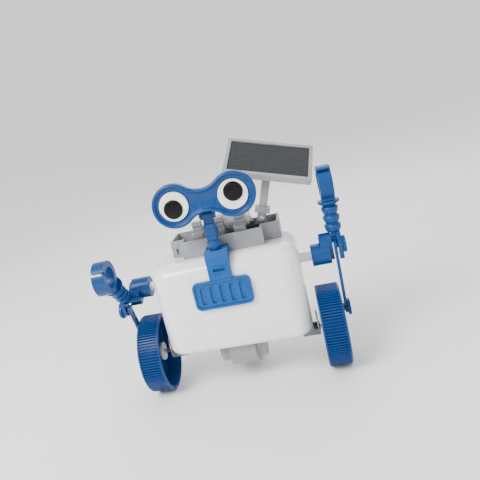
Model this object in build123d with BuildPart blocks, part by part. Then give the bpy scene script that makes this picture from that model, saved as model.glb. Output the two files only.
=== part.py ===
from build123d import *
import os
from math import acos, atan2, cos, pi, radians, sin, sqrt, tan

os.makedirs("parts", exist_ok=True)

# Frame: +Z up, the robot faces -Y, +X is on the right when looking at its face.
# The floor is z = 0 and the origin is under the middle of the bounding box.

# ---- driving dimensions (mm, degrees) ----
WHEEL_R = 30.0
WHEEL_IN = 59.3
WHEEL_OUT = 76.3
AXLE_Y = 3.5
AXLE_Z = WHEEL_R
AXLE_R = 1.6
RUNNING = 0.05
GAP = 0.3

BODY_HALF_X = 53.6
BODY_FRONT = AXLE_Y - 25.0
BODY_REAR = AXLE_Y + 29.0
BODY_BOTTOM = 34.0
BODY_TOP = 102.5
WALL = 2.0
CORNER_R = 14.0
TOP_R = 11.0
BOTTOM_R = 5.0

SHOULDER_Y = AXLE_Y + 4.1
SHOULDER_Z = 83.5
SLEEVE_R = 8.0
SLEEVE_IN = 61.8
SLEEVE_OUT = 75.3
SHOULDER_PIN_R = 3.5
LEVER = 10.0
LEVER_IN = 69.0
LEVER_OUT = 77.6

CRANK_R = 11.6
ROD_IN = 78.2
ROD_T = 2.0
TAIL_IN = 81.2
TAIL_T = 3.0
RIVET_HEAD_R = 6.0
RIVET_R = 2.0
ARM_X = 80.3
ARM_PIN_R = 2.9
ROD_PIN_FORWARD = 6.7
ROD_PIN_DOWN = 3.1
CLAW_UP = 41.0
CLAW_R = 12.0
CLAW_BORE_R = 7.6
CLAW_T = 9.3

# side, lever direction, arm direction and crank direction as angles in the YZ plane from +Y to +Z
SIDES = {
    "left": (-1, 210.0, 136.0, -19.6),
    "right": (1, 96.0, 90.0, 90.0),
}
CLAW_GAP = {"left": 78.0, "right": 48.0}

# three stacked cups along the forearm: radius and height above each cup's foot
CUPS_FROM = 5.5
CUP_STEP = 6.4
CUP = [(4.4, 0.0), (5.2, 1.2), (5.8, 3.2), (5.9, 4.8), (5.5, 5.4), (4.5, 5.7)]
CUPS = [(radius, CUPS_FROM + cup * CUP_STEP + height) for cup in range(3) for radius, height in CUP]

MODULE = 0.9
PRESSURE = radians(25.0)
BACKLASH = 0.14
GEAR_T = 4.0
GEAR_PIN_R = 1.0
FINE_X = -10.5
COARSE_X = -5.5
PLATE_LEFT = -14.0
PLATE_RIGHT = 3.0
PLATE_T = 2.0

DECK_Z = BODY_TOP
DECK_TOP = 115.0
DECK_WALL = 1.6
POST_TOP = 125.5
POST_STEP = 118.0
POST_X = (-15.0, 1.0, 16.5)
MOTOR_FLAT = 15.4
MOTOR_R = 10.2
MOTOR_X = 0.0
MOTOR_LEN = 20.0

FACE_X = -1.2
NECK_Y = AXLE_Y - 20.0
STRAP_TOP = 108.5
HEAD_Z = 145.1
HEAD_TILT_Z = 133.5
LOBE_R = 15.2
EYE_X = 20.1
EYE_R = 9.9
HEAD_FRONT = AXLE_Y - 31.0

MAST_X = 32.0
MAST_Y = AXLE_Y + 14.0
MAST_Z = 117.0
MAST_LEAN = 18.5
PANEL_UP = 37.0
PANEL_TILT = 55.0
PANEL_W = 61.5
PANEL_H = 36.0
PANEL_T = 5.0

BATTERY_Y = AXLE_Y + 20.6
BATTERY_Z = 57.0
BATTERY_R = 5.2
BATTERY_L = 44.5

CASTER_Y = AXLE_Y + 33.0
CASTER_R = 6.0


def save(piece, name):
    piece.part.label = name
    export_step(piece.part, f"parts/{name}.step")


def direction(angle):
    return cos(radians(angle)), sin(radians(angle))


def step_from(point, angle, distance):
    along_y, along_z = direction(angle)
    return point[0] + along_y * distance, point[1] + along_z * distance


def side_plane(x, point, up_angle):
    """A plane facing +X at point, whose local +Y runs along up_angle and local +X runs backwards."""
    up_y, up_z = direction(up_angle)
    return Plane(origin=(x, point[0], point[1]), x_dir=(0, up_z, -up_y), z_dir=(1, 0, 0))


def front_plane(x, point, up_angle):
    """A plane through point whose local +X is +X and local +Y runs along up_angle."""
    up_y, up_z = direction(up_angle)
    return Plane(origin=(x, point[0], point[1]), x_dir=(1, 0, 0), z_dir=(0, -up_z, up_y))


def hull_around(*circles):
    """The hull around circles given as (x, y, radius)."""
    make_hull([Pos(x, y) * edge for x, y, radius in circles for edge in Circle(radius, mode=Mode.PRIVATE).edges()])


# ---- where the moving pieces turn ----
AXLE = (AXLE_Y, AXLE_Z)
SHOULDER = (SHOULDER_Y, SHOULDER_Z)


def meshed(centre, y_step, distance):
    """The centre one gear distance above, moved y_step along Y."""
    return centre[0] + y_step, centre[1] + sqrt(distance**2 - y_step**2)


def centre_distance(teeth_a, teeth_b):
    return MODULE * (teeth_a + teeth_b) / 2


AXLE_TEETH, IDLER_TEETH, PINION_TEETH = 36, 30, 10
LOWER_IDLER = meshed(AXLE, -8.0, centre_distance(AXLE_TEETH, IDLER_TEETH))
UPPER_IDLER = meshed(LOWER_IDLER, 14.0, centre_distance(IDLER_TEETH, IDLER_TEETH))
COMPOUND = meshed(UPPER_IDLER, 3.0, centre_distance(IDLER_TEETH, PINION_TEETH))
MOTOR = meshed(COMPOUND, 6.0, centre_distance(IDLER_TEETH, PINION_TEETH))


# ---- gear teeth ----
def involute(angle):
    return tan(angle) - angle


def gear_outline(teeth, centre, phase):
    """Points of an involute gear about centre, with one tooth centred on the angle phase."""
    pitch_r = MODULE * teeth / 2
    base_r = pitch_r * cos(PRESSURE)
    root_r = pitch_r - 1.25 * MODULE
    tip_r = pitch_r + MODULE
    half_tooth = (pi * MODULE / 2 - BACKLASH) / (2 * pitch_r)
    start_r = max(base_r, root_r)
    flank = []
    for step in range(6):
        radius = start_r + (tip_r - start_r) * step / 5
        flank.append((radius, half_tooth + involute(PRESSURE) - involute(acos(base_r / radius))))
    if base_r > root_r:
        flank.insert(0, (root_r, flank[0][1]))
    points = []
    for tooth in range(teeth):
        middle = phase + 2 * pi * tooth / teeth
        sides = [(radius, middle - spread) for radius, spread in flank]
        sides += [(radius, middle + spread) for radius, spread in reversed(flank)]
        points += [(centre[0] + radius * cos(a), centre[1] + radius * sin(a)) for radius, a in sides]
    return points


def mesh_phase(centre, teeth, phase, next_centre, next_teeth):
    """The phase that puts the next gear's teeth in this gear's spaces."""
    towards = atan2(next_centre[1] - centre[1], next_centre[0] - centre[0])
    radius, next_radius = MODULE * teeth / 2, MODULE * next_teeth / 2
    return towards + pi + (pi * MODULE / 2 - (phase - towards) * radius) / next_radius


AXLE_PHASE = 0.0
LOWER_PHASE = mesh_phase(AXLE, AXLE_TEETH, AXLE_PHASE, LOWER_IDLER, IDLER_TEETH)
UPPER_PHASE = mesh_phase(LOWER_IDLER, IDLER_TEETH, LOWER_PHASE, UPPER_IDLER, IDLER_TEETH)
COMPOUND_PHASE = mesh_phase(UPPER_IDLER, IDLER_TEETH, UPPER_PHASE, COMPOUND, PINION_TEETH)
MOTOR_PHASE = mesh_phase(COMPOUND, IDLER_TEETH, COMPOUND_PHASE, MOTOR, PINION_TEETH)


# ---- white body: two shells that meet on the shoulder axis ----
def rounded_body(inset):
    """The body's rounded box, drawn in by inset on every side."""
    width = 2 * (BODY_HALF_X - inset)
    depth = BODY_REAR - BODY_FRONT - 2 * inset
    with BuildPart() as body:
        with BuildSketch(Plane.XY.offset(BODY_BOTTOM + inset)):
            with Locations((0, (BODY_FRONT + BODY_REAR) / 2)):
                RectangleRounded(width, depth, CORNER_R - inset)
        extrude(amount=BODY_TOP - BODY_BOTTOM - 2 * inset)
        fillet(body.faces().sort_by(Axis.Z)[-1].edges(), radius=TOP_R - inset)
        fillet(body.faces().sort_by(Axis.Z)[0].edges(), radius=BOTTOM_R - inset)
    return body.part


OUTSIDE = rounded_body(0)
INSIDE = rounded_body(WALL)
SCREW_SPOTS = [(x, z) for x in (-43.0, 43.0) for z in (46.0, 88.0)]
BOSS_R = 3.2
DOOR_W, DOOR_H = 58.0, 20.0
DOOR_SCREW_X = DOOR_W / 2 - 5

for half, keep in (("front_shell", Keep.BOTTOM), ("rear_shell", Keep.TOP)):
    with BuildPart() as shell:
        add(OUTSIDE)
        add(INSIDE, mode=Mode.SUBTRACT)
        # screw bosses
        with BuildSketch(Plane.XZ.offset(-BODY_FRONT - 1)):
            with Locations(*SCREW_SPOTS):
                Circle(BOSS_R)
        extrude(amount=-(BODY_REAR - BODY_FRONT - 2))
        # screw holes, with counterbores at the back
        with BuildSketch(Plane.XZ.offset(-BODY_FRONT - 6)):
            with Locations(*SCREW_SPOTS):
                Circle(1.0)
        extrude(amount=-60, mode=Mode.SUBTRACT)
        with BuildSketch(Plane.XZ.offset(-BODY_REAR)):
            with Locations(*SCREW_SPOTS):
                Circle(2.4)
        extrude(amount=1.8, mode=Mode.SUBTRACT)
        # holes for the shoulder pins
        with BuildSketch(Plane.YZ.offset(-60)):
            with Locations(SHOULDER):
                Circle(SHOULDER_PIN_R + 0.02)
        extrude(amount=120, mode=Mode.SUBTRACT)
        # top opening for the gear plates, bottom opening for the gear housing
        with BuildSketch(Plane.XY.offset(BODY_TOP - 5)):
            with Locations(((PLATE_LEFT + PLATE_RIGHT + PLATE_T) / 2, AXLE_Y + 8)):
                Rectangle(20, 33)
        extrude(amount=10, mode=Mode.SUBTRACT)
        with BuildSketch(Plane.XY.offset(BODY_BOTTOM - 5)):
            with Locations((-2, AXLE_Y)):
                Rectangle(37.4, 38)
            with Locations((0, AXLE_Y + 23)):
                Rectangle(18.4, 7.4)
        extrude(amount=10, mode=Mode.SUBTRACT)
        # notches for the axle bearing blocks
        for side in (-1, 1):
            with BuildSketch(Plane.XY.offset(BODY_BOTTOM - 5)):
                with Locations((side * 50.0, AXLE_Y)):
                    Rectangle(20.8, 10.6)
            extrude(amount=9.8, mode=Mode.SUBTRACT)
        if half == "rear_shell":
            with BuildSketch(Plane.XZ.offset(-BODY_REAR + 5)):
                with Locations((0, BATTERY_Z)):
                    RectangleRounded(DOOR_W, DOOR_H, 2.5)
            extrude(amount=-10, mode=Mode.SUBTRACT)
        split(bisect_by=Plane(origin=(0, SHOULDER_Y, 0), x_dir=(1, 0, 0), z_dir=(0, 1, 0)), keep=keep)
    save(shell, half)

with BuildPart() as case_screws:
    with BuildSketch(Plane.XZ.offset(-BODY_REAR + 1.8)):
        with Locations(*SCREW_SPOTS):
            Circle(2.3)
    extrude(amount=-1.4)
    with BuildSketch(Plane.XZ.offset(-BODY_REAR + 1.8)):
        with Locations(*SCREW_SPOTS):
            Circle(0.98)
    extrude(amount=36)
    with BuildSketch(Plane.XZ.offset(-BODY_REAR + 1.0)):
        with Locations((DOOR_SCREW_X, BATTERY_Z)):
            Circle(2.0)
    extrude(amount=-0.6)
    for x, z in SCREW_SPOTS + [(DOOR_SCREW_X, BATTERY_Z)]:
        with BuildSketch(Plane.XZ.offset(-BODY_REAR + 0.4)):
            with Locations((x, z)):
                Rectangle(3.0, 0.6)
                Rectangle(0.6, 3.0)
        extrude(amount=0.7, mode=Mode.SUBTRACT)
save(case_screws, "case_screws")

# ---- battery compartment at the back ----
BOX_HALF_X = 27.0
with BuildPart() as battery_box:
    with BuildSketch(Plane.XZ.offset(-(BATTERY_Y - BATTERY_R - 1.8))):
        with Locations((0, BATTERY_Z)):
            Rectangle(2 * BOX_HALF_X, 15.0)
    extrude(amount=-13.0)
    with BuildSketch(Plane.XZ.offset(-(BATTERY_Y - BATTERY_R - 0.2))):
        with Locations((0, BATTERY_Z)):
            Rectangle(2 * BOX_HALF_X - 3.2, 11.8)
    extrude(amount=-13.0, mode=Mode.SUBTRACT)
    # mounting flange behind the door opening
    with BuildSketch(Plane.XZ.offset(-(BODY_REAR - WALL - 1.2))):
        with Locations((0, BATTERY_Z)):
            Rectangle(66, 27)
            Rectangle(2 * BOX_HALF_X - 3.2, 11.8, mode=Mode.SUBTRACT)
    extrude(amount=-1.2)
save(battery_box, "battery_box")

with BuildPart() as battery_cell:
    with BuildSketch(Plane.YZ.offset(-BATTERY_L / 2)):
        with Locations((BATTERY_Y, BATTERY_Z)):
            Circle(BATTERY_R)
    extrude(amount=BATTERY_L - 1.0)
    with BuildSketch(Plane.YZ.offset(BATTERY_L / 2 - 1.0)):
        with Locations((BATTERY_Y, BATTERY_Z)):
            Circle(1.9)
    extrude(amount=1.0)
save(battery_cell, "battery_cell")

SPRING_END = -(BOX_HALF_X - 1.6)
with BuildPart() as battery_contacts:
    with BuildSketch(Plane.YZ.offset(BATTERY_L / 2)):
        with Locations((BATTERY_Y, BATTERY_Z)):
            Rectangle(9, 11)
    extrude(amount=0.5)
    with BuildLine() as coil:
        Helix(pitch=0.85, height=2.4, radius=3.0, center=(SPRING_END + 0.4, BATTERY_Y, BATTERY_Z),
              direction=(1, 0, 0))
    with BuildSketch(Plane(origin=coil.line @ 0, z_dir=coil.line % 0)):
        Circle(0.3)
    sweep(is_frenet=True)
save(battery_contacts, "battery_contacts")

with BuildPart() as battery_door:
    with BuildSketch(Plane.XZ.offset(-BODY_REAR)):
        with Locations((0, BATTERY_Z)):
            RectangleRounded(DOOR_W - 0.6, DOOR_H - 0.6, 2.2)
    extrude(amount=WALL)
    for rib in (-2, -1, 1, 2):
        with BuildSketch(Plane.XZ.offset(-BODY_REAR)):
            with Locations((rib * 4.5, BATTERY_Z)):
                SlotOverall(12, 1.4, rotation=90)
        extrude(amount=-0.6)
    with BuildSketch(Plane.XZ.offset(-BODY_REAR)):
        with Locations((DOOR_SCREW_X, BATTERY_Z)):
            Circle(2.2)
    extrude(amount=1.0, mode=Mode.SUBTRACT)
save(battery_door, "battery_door")

# ---- chassis: base plate with the axle bearing blocks ----
BLOCK_IN, BLOCK_OUT = 44.8, 57.8
BUSH_R = 3.6
with BuildPart() as chassis_base:
    with BuildSketch(Plane.XY.offset(BODY_BOTTOM + WALL)):
        with Locations((0, AXLE_Y + 2)):
            RectangleRounded(92, 44, 8)
        with Locations((-2, AXLE_Y)):
            Rectangle(22, 36, mode=Mode.SUBTRACT)
    extrude(amount=2.5)
    for side in (-1, 1):
        with BuildSketch(Plane.YZ.offset(side * BLOCK_IN)):
            with BuildLine():
                Polyline((AXLE_Y - 5, 38.5), (AXLE_Y - 5, 27), (AXLE_Y - 3, 24.5), (AXLE_Y + 3, 24.5),
                         (AXLE_Y + 5, 27), (AXLE_Y + 5, 38.5), close=True)
            make_face()
        extrude(amount=side * (BLOCK_OUT - BLOCK_IN))
        # the saddle is open above the outer half of the bush
        with BuildSketch(Plane.XY.offset(AXLE_Z)):
            with Locations((side * 56.8, AXLE_Y)):
                Rectangle(6.4, 12)
        extrude(amount=12, mode=Mode.SUBTRACT)
        with BuildSketch(Plane.YZ.offset(side * (BLOCK_IN - 1))):
            with Locations(AXLE):
                Circle(BUSH_R)
        extrude(amount=side * 15, mode=Mode.SUBTRACT)
        # wedge beside the block
        with BuildSketch(Plane.XZ.offset(-(AXLE_Y - 5))):
            with BuildLine():
                Polyline((side * 40, BODY_BOTTOM), (side * BLOCK_IN, 27), (side * BLOCK_IN, BODY_BOTTOM),
                         close=True)
            make_face()
        extrude(amount=-10)
        with BuildSketch(Plane.XY.offset(BODY_BOTTOM)):
            with Locations((side * 42.4, AXLE_Y)):
                Rectangle(4.8, 10)
        extrude(amount=WALL)
        with BuildSketch(Plane.YZ.offset(side * 38)):
            with Locations(AXLE):
                Circle(2.0)
        extrude(amount=side * 8, mode=Mode.SUBTRACT)
save(chassis_base, "chassis_base")

with BuildPart() as axle_bushes:
    for side in (-1, 1):
        with BuildSketch(Plane.YZ.offset(side * (BLOCK_IN + 2))):
            with Locations(AXLE):
                Circle(BUSH_R - 0.02)
                Circle(AXLE_R + RUNNING, mode=Mode.SUBTRACT)
        extrude(amount=side * 11.4)
save(axle_bushes, "axle_bushes")

with BuildPart() as bush_clips:
    for side in (-1, 1):
        clip_x = side * 57.0
        with BuildLine() as wire:
            near_leg = Line((clip_x, AXLE_Y - 5.7, 28.5), (clip_x, AXLE_Y - 5.7, 37.0))
            arch = ThreePointArc(near_leg @ 1, (clip_x, AXLE_Y, 42.7), (clip_x, AXLE_Y + 5.7, 37.0))
            Line(arch @ 1, (clip_x, AXLE_Y + 5.7, 28.5))
        with BuildSketch(Plane(origin=wire.line @ 0, z_dir=wire.line % 0)):
            Circle(0.55)
        sweep()
save(bush_clips, "bush_clips")

# ---- gear housing under the body and the two gear plates ----
with BuildPart() as gear_housing:
    for x_from, width, radius in ((-17.3, 33.8, 14.8), (-10.0, 20.0, 18.8)):
        with BuildSketch(Plane.YZ.offset(x_from)):
            with Locations(AXLE):
                Circle(radius)
                Rectangle(2 * radius, 30, align=(Align.CENTER, Align.MIN))
        extrude(amount=width)
    with BuildSketch(Plane.YZ.offset(-8.4)):
        with Locations(AXLE):
            Circle(17.6)
            Rectangle(35.2, 30, align=(Align.CENTER, Align.MIN))
    extrude(amount=16.8, mode=Mode.SUBTRACT)
    with BuildSketch(Plane.XY.offset(BODY_BOTTOM + WALL)):
        Rectangle(200, 200)
    extrude(amount=60, mode=Mode.SUBTRACT)
    with BuildSketch(Plane.YZ.offset(-60)):
        with Locations(AXLE):
            Circle(AXLE_R + RUNNING)
    extrude(amount=120, mode=Mode.SUBTRACT)
save(gear_housing, "gear_housing")

PLATE_FOOT = BODY_BOTTOM + WALL + 2.5
PLATE_TOP = COMPOUND[1] + 4.5
with BuildPart() as gear_plates:
    for x_from in (PLATE_LEFT, PLATE_RIGHT):
        with BuildSketch(Plane.YZ.offset(x_from)):
            with BuildLine():
                Polyline((AXLE_Y - 19, PLATE_FOOT), (AXLE_Y + 19, PLATE_FOOT), (AXLE_Y + 13.2, 48),
                         (AXLE_Y + 13.2, PLATE_TOP), (AXLE_Y - 3, PLATE_TOP), (AXLE_Y - 15, 70), close=True)
            make_face()
            with Locations(LOWER_IDLER, UPPER_IDLER, COMPOUND):
                Circle(GEAR_PIN_R + 0.02, mode=Mode.SUBTRACT)
            with Locations((AXLE_Y + 7, 66), (AXLE_Y + 7, 49)):
                Circle(3.0, mode=Mode.SUBTRACT)
        extrude(amount=PLATE_T)
save(gear_plates, "gear_plates")

with BuildPart() as gear_pins:
    with BuildSketch(Plane.YZ.offset(PLATE_LEFT)):
        with Locations(LOWER_IDLER, UPPER_IDLER, COMPOUND):
            Circle(GEAR_PIN_R)
    extrude(amount=PLATE_RIGHT + PLATE_T - PLATE_LEFT)
save(gear_pins, "gear_pins")

# ---- gear train ----
for name, centre, phase in (("lower_idler", LOWER_IDLER, LOWER_PHASE), ("upper_idler", UPPER_IDLER, UPPER_PHASE)):
    with BuildPart() as idler:
        with BuildSketch(Plane.YZ.offset(COARSE_X)):
            with BuildLine():
                Polyline(*gear_outline(IDLER_TEETH, centre, phase), close=True)
            make_face()
            with Locations(centre):
                with PolarLocations(8.0, 6):
                    Circle(2.0, mode=Mode.SUBTRACT)
                Circle(GEAR_PIN_R + RUNNING, mode=Mode.SUBTRACT)
        extrude(amount=GEAR_T)
        with BuildSketch(Plane.YZ.offset(PLATE_LEFT + PLATE_T + GAP)):
            with Locations(centre):
                Circle(2.6)
                Circle(GEAR_PIN_R + RUNNING, mode=Mode.SUBTRACT)
        extrude(amount=PLATE_RIGHT - PLATE_LEFT - PLATE_T - 2 * GAP)
    save(idler, name)

with BuildPart() as compound_gear:
    for x_from, teeth in ((FINE_X, IDLER_TEETH), (COARSE_X, PINION_TEETH)):
        with BuildSketch(Plane.YZ.offset(x_from)):
            with BuildLine():
                Polyline(*gear_outline(teeth, COMPOUND, COMPOUND_PHASE), close=True)
            make_face()
            with Locations(COMPOUND):
                Circle(GEAR_PIN_R + RUNNING, mode=Mode.SUBTRACT)
        extrude(amount=GEAR_T)
    with BuildSketch(Plane.YZ.offset(PLATE_LEFT + PLATE_T + GAP)):
        with Locations(COMPOUND):
            Circle(2.6)
            Circle(GEAR_PIN_R + RUNNING, mode=Mode.SUBTRACT)
    extrude(amount=PLATE_RIGHT - PLATE_LEFT - PLATE_T - 2 * GAP)
save(compound_gear, "compound_gear")

with BuildPart() as axle_gear:
    with BuildSketch(Plane.YZ.offset(COARSE_X)):
        with BuildLine():
            Polyline(*gear_outline(AXLE_TEETH, AXLE, AXLE_PHASE), close=True)
        make_face()
        with Locations(AXLE):
            with PolarLocations(9.5, 6):
                Circle(2.6, mode=Mode.SUBTRACT)
            Circle(AXLE_R, mode=Mode.SUBTRACT)
    extrude(amount=GEAR_T)
    with BuildSketch(Plane.YZ.offset(-8.0)):
        with Locations(AXLE):
            Circle(3.4)
            Circle(AXLE_R, mode=Mode.SUBTRACT)
    extrude(amount=14.0)
save(axle_gear, "axle_gear")

with BuildPart() as motor_pinion:
    with BuildSketch(Plane.YZ.offset(FINE_X)):
        with BuildLine():
            Polyline(*gear_outline(PINION_TEETH, MOTOR, MOTOR_PHASE), close=True)
        make_face()
        with Locations(MOTOR):
            Circle(1.0, mode=Mode.SUBTRACT)
    extrude(amount=GEAR_T)
save(motor_pinion, "motor_pinion")

with BuildPart() as motor_shaft:
    with BuildSketch(Plane.YZ.offset(FINE_X)):
        with Locations(MOTOR):
            Circle(1.0)
    extrude(amount=MOTOR_X - FINE_X + 12)
save(motor_shaft, "motor_shaft")

# ---- motor on the deck ----
def motor_section(radius, flat):
    Circle(radius)
    Rectangle(flat, 2 * radius, mode=Mode.INTERSECT)


with BuildPart() as motor_can:
    with BuildSketch(Plane.YZ.offset(MOTOR_X)):
        with Locations(MOTOR):
            Circle(MOTOR_R)
        with Locations(MOTOR):
            Rectangle(MOTOR_FLAT, 2 * MOTOR_R, mode=Mode.INTERSECT)
    extrude(amount=MOTOR_LEN)
    with BuildSketch(Plane.YZ.offset(MOTOR_X - 1.6)):
        with Locations(MOTOR):
            Circle(3.0)
    extrude(amount=1.6)
    with BuildSketch(Plane.YZ.offset(MOTOR_X - 2)):
        with Locations(MOTOR):
            Circle(1.0 + RUNNING)
    extrude(amount=14.1, mode=Mode.SUBTRACT)
    # vents in both flat sides
    for y in (MOTOR[0] - MOTOR_FLAT / 2 + 1.0, MOTOR[0] + MOTOR_FLAT / 2):
        with BuildSketch(Plane.XZ.offset(-y)):
            with Locations((MOTOR_X + 9.0, MOTOR[1] + 1.5)):
                SlotOverall(6.0, 3.0, rotation=35)
        extrude(amount=1.0, mode=Mode.SUBTRACT)
save(motor_can, "motor_can")

with BuildPart() as motor_end_cap:
    with BuildSketch(Plane.YZ.offset(MOTOR_X + MOTOR_LEN)):
        with Locations(MOTOR):
            Circle(MOTOR_R - 0.6)
        with Locations(MOTOR):
            Rectangle(MOTOR_FLAT - 0.8, 2 * MOTOR_R, mode=Mode.INTERSECT)
    extrude(amount=3.2)
    with BuildSketch(Plane.YZ.offset(MOTOR_X + MOTOR_LEN + 3.2)):
        with Locations(MOTOR):
            Circle(3.0)
    extrude(amount=1.4)
save(motor_end_cap, "motor_end_cap")

# ---- deck tray on top of the body ----
FRONT_TRAY = (-27.5, 32.0, AXLE_Y - 10.0, AXLE_Y + 1.0)
REAR_TRAY = (-37.0, 44.0, AXLE_Y, AXLE_Y + 27.5)


def tray_rectangle(tray, inset):
    x_from, x_to, y_from, y_to = tray
    with Locations(((x_from + x_to) / 2, (y_from + y_to) / 2)):
        Rectangle(x_to - x_from - 2 * inset, y_to - y_from - 2 * inset)


with BuildPart() as deck_tray:
    with BuildSketch(Plane.XY.offset(DECK_Z)):
        tray_rectangle(FRONT_TRAY, 0)
        tray_rectangle(REAR_TRAY, 0)
    extrude(amount=DECK_TOP - DECK_Z)
    with BuildSketch(Plane.XY.offset(DECK_Z + DECK_WALL)):
        tray_rectangle(FRONT_TRAY, DECK_WALL)
        tray_rectangle(REAR_TRAY, DECK_WALL)
        with Locations(((FRONT_TRAY[0] + FRONT_TRAY[1]) / 2, AXLE_Y + 1)):
            Rectangle(FRONT_TRAY[1] - FRONT_TRAY[0] - 2 * DECK_WALL, 6)
    extrude(amount=30, mode=Mode.SUBTRACT)
    # floor opening over the gear plates
    with BuildSketch(Plane.XY.offset(DECK_Z)):
        with Locations(((PLATE_LEFT + PLATE_RIGHT + PLATE_T) / 2, AXLE_Y + 8)):
            Rectangle(20, 33)
    extrude(amount=DECK_WALL, mode=Mode.SUBTRACT)
    # slot in the left end of the front face
    with BuildSketch(Plane.XZ.offset(-AXLE_Y + 1)):
        with Locations((-33.0, DECK_Z + 4.5)):
            SlotOverall(5.0, 1.6, rotation=90)
    extrude(amount=-4, mode=Mode.SUBTRACT)
save(deck_tray, "deck_tray")

with BuildPart() as motor_cradle:
    with BuildSketch(Plane.XY.offset(DECK_Z + DECK_WALL)):
        with Locations((12.2, AXLE_Y + 9.8)):
            Rectangle(16.6, 31.6)
    extrude(amount=2.1)
    # stepped posts: a deep foot and a slimmer top
    with BuildSketch(Plane.XY.offset(DECK_Z + DECK_WALL)):
        for x in POST_X:
            with Locations((x, AXLE_Y + 0.6)):
                Rectangle(8.4, 13)
    extrude(amount=POST_STEP - DECK_Z - DECK_WALL)
    with BuildSketch(Plane.XY.offset(DECK_Z + DECK_WALL)):
        for x in POST_X:
            with Locations((x, AXLE_Y + 4.6)):
                Rectangle(7, 5)
        with Locations((15.0, AXLE_Y + 23.9)):
            Rectangle(9, 2)
    extrude(amount=POST_TOP - DECK_Z - DECK_WALL)
    # room for the compound gear's pinion beside the middle post
    with BuildSketch(Plane.YZ.offset(COARSE_X)):
        with Locations(COMPOUND):
            Circle(MODULE * (PINION_TEETH / 2 + 1) + GAP)
    extrude(amount=GEAR_T + GAP, mode=Mode.SUBTRACT)
    # snap notches across the front posts
    with BuildSketch(Plane.YZ.offset(-20)):
        with Locations((AXLE_Y + 2.1, 121.4)):
            Circle(1.0)
    extrude(amount=42, mode=Mode.SUBTRACT)
save(motor_cradle, "motor_cradle")

# ---- switch ----
SWITCH_X, SWITCH_Y = 26.5, AXLE_Y + 4.2
with BuildPart() as switch_body:
    with BuildSketch(Plane.XY.offset(DECK_Z + DECK_WALL)):
        with Locations((SWITCH_X, SWITCH_Y)):
            Rectangle(11, 4.8)
    extrude(amount=DECK_TOP - DECK_Z - DECK_WALL + 0.4)
    with BuildSketch(Plane.XY.offset(DECK_TOP + 0.4)):
        with Locations((SWITCH_X, SWITCH_Y)):
            Rectangle(7.4, 2.9)
    extrude(amount=-2.4, mode=Mode.SUBTRACT)
save(switch_body, "switch_body")

with BuildPart() as switch_knob:
    with BuildSketch(Plane.XY.offset(DECK_TOP - 1.6)):
        with Locations((SWITCH_X - 1.5, SWITCH_Y)):
            Rectangle(3.2, 2.3)
    extrude(amount=4.6)
save(switch_knob, "switch_knob")

# ---- axle and wheels ----
with BuildPart() as axle:
    with BuildSketch(Plane.YZ.offset(-75)):
        with Locations(AXLE):
            Circle(AXLE_R)
    extrude(amount=150)
save(axle, "axle")

WEB_IN, WEB_OUT = 72.8, 75.3
HUB_BOSS_R = 4.0
HUB_IN = 64.0
for side_name, (side, lever_angle, arm_angle, crank_angle) in SIDES.items():
    crank = step_from(AXLE, crank_angle, CRANK_R)
    with BuildPart() as wheel:
        with BuildSketch(Plane.YZ.offset(side * WHEEL_IN)):
            with Locations(AXLE):
                Circle(WHEEL_R)
        extrude(amount=side * (WHEEL_OUT - WHEEL_IN))
        fillet(wheel.edges().filter_by(GeomType.CIRCLE).sort_by(Axis.X)[-1 if side > 0 else 0], radius=1.6)
        with BuildSketch(Plane.YZ.offset(side * WHEEL_IN)):
            with Locations(AXLE):
                Circle(WHEEL_R - 2.2)
        extrude(amount=side * (WEB_IN - WHEEL_IN), mode=Mode.SUBTRACT)
        with BuildSketch(Plane.YZ.offset(side * WEB_OUT)):
            with Locations(AXLE):
                Circle(WHEEL_R - 3.6)
        extrude(amount=side * 2, mode=Mode.SUBTRACT)
        with BuildSketch(Plane.YZ.offset(side * WEB_IN)):
            with Locations(AXLE):
                Circle(7.0)
            with Locations(crank):
                Circle(3.4)
        extrude(amount=side * (WEB_OUT + 0.6 - WEB_IN))
        with BuildSketch(Plane.YZ.offset(side * WEB_OUT)):
            with Locations(crank):
                Circle(3.0)
        extrude(amount=side * (ROD_IN - GAP - WEB_OUT))
        with BuildSketch(Plane.YZ.offset(side * WEB_IN)):
            with Locations(AXLE):
                Circle(HUB_BOSS_R)
        extrude(amount=side * 5, mode=Mode.SUBTRACT)
    save(wheel, f"wheel_{side_name}")

with BuildPart() as wheel_hubs:
    for side in (-1, 1):
        with BuildSketch(Plane.YZ.offset(side * (WEB_IN - 1.6))):
            with Locations(AXLE):
                Circle(9.8)
        extrude(amount=side * 1.6)
        with BuildSketch(Plane.YZ.offset(side * HUB_IN)):
            with Locations(AXLE):
                Circle(6.9)
                with PolarLocations(5.0, 4, start_angle=45):
                    Circle(1.2, mode=Mode.SUBTRACT)
        extrude(amount=side * 1.8)
        with BuildSketch(Plane.YZ.offset(side * HUB_IN)):
            with Locations(AXLE):
                Circle(HUB_BOSS_R)
        extrude(amount=side * (WEB_OUT - HUB_IN))
        with BuildSketch(Plane.YZ.offset(side * 60)):
            with Locations(AXLE):
                Circle(AXLE_R)
        extrude(amount=side * 20, mode=Mode.SUBTRACT)
save(wheel_hubs, "wheel_hubs")

with BuildPart() as wheel_screws:
    for side in (-1, 1):
        with BuildSketch(Plane.YZ.offset(side * WEB_OUT)):
            with Locations(AXLE):
                Circle(3.2)
        extrude(amount=side * 1.5)
        with BuildSketch(Plane.YZ.offset(side * (WEB_OUT + 0.9))):
            with Locations(AXLE):
                Rectangle(4.0, 0.8)
                Rectangle(0.8, 4.0)
        extrude(amount=side * 2, mode=Mode.SUBTRACT)
save(wheel_screws, "wheel_screws")

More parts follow.
